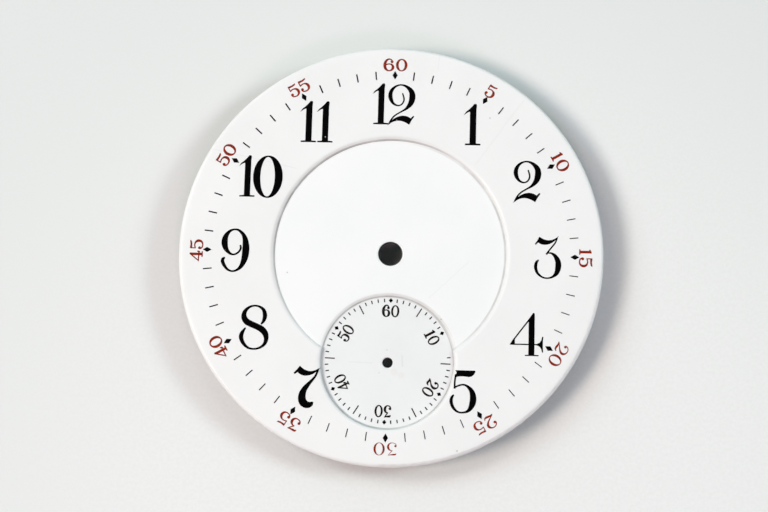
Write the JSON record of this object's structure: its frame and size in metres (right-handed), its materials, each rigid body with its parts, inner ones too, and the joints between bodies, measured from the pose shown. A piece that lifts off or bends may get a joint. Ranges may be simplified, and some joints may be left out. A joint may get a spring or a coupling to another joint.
{
  "type": "pocket watch dial",
  "caption": "Double-sunk enamel dial for a pocket watch: white ring, sunk centre and deeper seconds disc soldered in from behind, black hour numerals, red minute numerals, copper feet.",
  "frame": {"origin": "on the axis of the centre hole, at the flat back of the ring where the dial rests on the movement", "axes": "+Z out of the face along the centre hole, +Y towards 12, +X towards 3"},
  "size_m": [0.0432, 0.0432, 0.0036],
  "materials": {
    "white_enamel": "gloss",
    "counter_enamel": "gloss",
    "dial_copper": "satin",
    "soft_solder": "satin",
    "braze": "satin",
    "black_paint": "gloss",
    "red_paint": "gloss"
  },
  "bodies": {
    "root": {"ring_copper": "dial_copper", "ring_enamel": "white_enamel", "ring_counter_enamel": "counter_enamel", "centre_copper": "dial_copper", "centre_enamel": "white_enamel", "centre_counter_enamel": "counter_enamel", "centre_solder": "soft_solder", "seconds_copper": "dial_copper", "seconds_enamel": "white_enamel", "seconds_counter_enamel": "counter_enamel", "seconds_solder": "soft_solder", "dial_foot_1": "dial_copper", "dial_foot_2": "dial_copper", "dial_foot_3": "dial_copper", "foot_braze_1": "braze", "foot_braze_2": "braze", "foot_braze_3": "braze", "hour_numeral_12": "black_paint", "hour_numeral_1": "black_paint", "hour_numeral_2": "black_paint", "hour_numeral_3": "black_paint", "hour_numeral_4": "black_paint", "hour_numeral_5": "black_paint", "hour_numeral_7": "black_paint", "hour_numeral_8": "black_paint", "hour_numeral_9": "black_paint", "hour_numeral_10": "black_paint", "hour_numeral_11": "black_paint", "minute_strokes": "black_paint", "hour_lozenges": "black_paint", "minute_numeral_5": "red_paint", "minute_numeral_10": "red_paint", "minute_numeral_15": "red_paint", "minute_numeral_20": "red_paint", "minute_numeral_25": "red_paint", "minute_numeral_30": "red_paint", "minute_numeral_35": "red_paint", "minute_numeral_40": "red_paint", "minute_numeral_45": "red_paint", "minute_numeral_50": "red_paint", "minute_numeral_55": "red_paint", "minute_numeral_60": "red_paint", "seconds_dashes": "black_paint", "seconds_long_strokes": "black_paint", "seconds_lozenges": "black_paint", "seconds_numeral_10": "black_paint", "seconds_numeral_20": "black_paint", "seconds_numeral_30": "black_paint", "seconds_numeral_40": "black_paint", "seconds_numeral_50": "black_paint", "seconds_numeral_60": "black_paint"}
  },
  "joints": []
}
